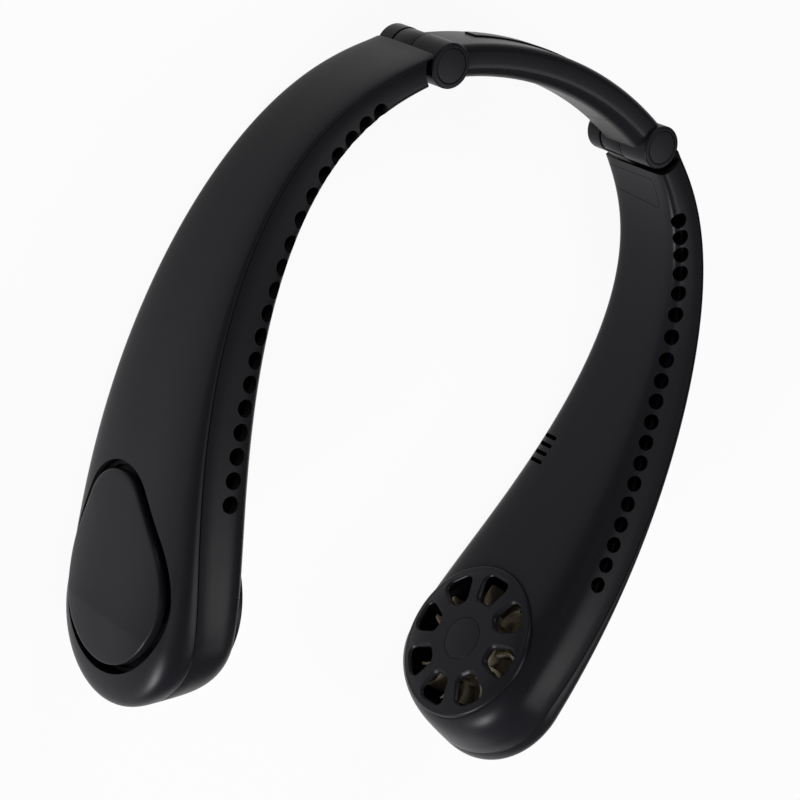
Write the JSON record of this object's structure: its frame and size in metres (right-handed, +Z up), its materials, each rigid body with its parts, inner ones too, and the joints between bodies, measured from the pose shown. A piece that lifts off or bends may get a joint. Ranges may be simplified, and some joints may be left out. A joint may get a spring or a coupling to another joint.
{
  "type": "electric neck fan",
  "caption": "Foldable neck fan: a curved band with a hinged blower arm at each end, a round grille and a teardrop intake cover on each pod, and a row of air outlets.",
  "frame": {"origin": "centre of the bounding box, at the level it rests on", "axes": "+X to the arm with the power button, +Y towards the neck band, +Z up from the table"},
  "size_m": [0.1862, 0.2149, 0.0599],
  "materials": {
    "shell_plastic": "satin moulded shell",
    "dark_plastic": "matte",
    "gloss_black": "smooth",
    "cream_plastic": "moulded, smooth",
    "lead_jacket": "soft lead covering",
    "steel": "plain bright",
    "brass": "sintered",
    "copper": "enamelled windings",
    "cell_wrap": "shrink wrap",
    "board": "solder mask",
    "lens": "frosted"
  },
  "bodies": {
    "band": {"band_outer_shell": "shell_plastic", "band_inner_shell": "shell_plastic", "band_trim": "gloss_black", "band_loom": "lead_jacket", "band_end_cover_left": "shell_plastic", "band_end_cover_right": "shell_plastic", "hinge_pin_left": "steel", "hinge_pin_right": "steel", "top_cap_left": "dark_plastic", "top_cap_right": "dark_plastic", "bottom_cap_left": "dark_plastic", "bottom_cap_right": "dark_plastic", "hinge_washers_left": "steel", "hinge_washers_right": "steel"},
    "arm_left": {"arm_outer_shell_left": "shell_plastic", "arm_inner_shell_left": "shell_plastic", "intake_cover_left": "shell_plastic", "intake_frame_left": "dark_plastic", "fan_grille_left": "shell_plastic", "grille_badge_left": "dark_plastic", "fan_scroll_left": "dark_plastic", "motor_base_left": "dark_plastic", "motor_stator_left": "copper", "motor_bearing_left": "brass", "battery_left": "cell_wrap", "duct_wall_left": "dark_plastic", "hinge_tongue_left": "shell_plastic", "hinge_cover_left": "shell_plastic", "arm_screws_left": "steel"},
    "arm_right": {"arm_outer_shell_right": "shell_plastic", "arm_inner_shell_right": "shell_plastic", "intake_cover_right": "shell_plastic", "intake_frame_right": "dark_plastic", "fan_grille_right": "shell_plastic", "grille_badge_right": "dark_plastic", "fan_scroll_right": "dark_plastic", "motor_base_right": "dark_plastic", "motor_stator_right": "copper", "motor_bearing_right": "brass", "battery_right": "cell_wrap", "duct_wall_right": "dark_plastic", "hinge_tongue_right": "shell_plastic", "hinge_cover_right": "shell_plastic", "arm_screws_right": "steel", "control_board": "board", "button_switch": "steel", "led_lens": "lens", "usb_c_socket": "steel"},
    "fan_left": {"motor_shaft_left": "steel", "rotor_yoke_left": "steel", "impeller_left": "cream_plastic"},
    "fan_right": {"motor_shaft_right": "steel", "rotor_yoke_right": "steel", "impeller_right": "cream_plastic"},
    "power_button": {"power_button": "gloss_black"}
  },
  "joints": [
    {"name": "hinge_right", "type": "hinge", "parent": "band", "child": "arm_right", "pos_m": [0.0441, 0.0923, 0.01416], "axis": [0, 0.0943, 0.9955], "range_deg": [-12, 35]},
    {"name": "hinge_left", "type": "hinge", "parent": "band", "child": "arm_left", "pos_m": [-0.0441, 0.0923, 0.01416], "axis": [0, -0.0943, -0.9955], "range_deg": [-12, 35]},
    {"name": "fan_spin_right", "type": "hinge", "parent": "arm_right", "child": "fan_right", "pos_m": [0.06431, -0.07357, 0.02988], "axis": [0.9738, -0.2264, 0.0215], "continuous": true},
    {"name": "fan_spin_left", "type": "hinge", "parent": "arm_left", "child": "fan_left", "pos_m": [-0.06431, -0.07357, 0.02988], "axis": [-0.9738, -0.2264, 0.0215], "continuous": true},
    {"name": "button_press", "type": "slide", "parent": "arm_right", "child": "power_button", "axis": [-0.9962, 0.0863, -0.0082], "range_m": [0, 0.0006], "stiffness_N_per_m": 500}
  ]
}
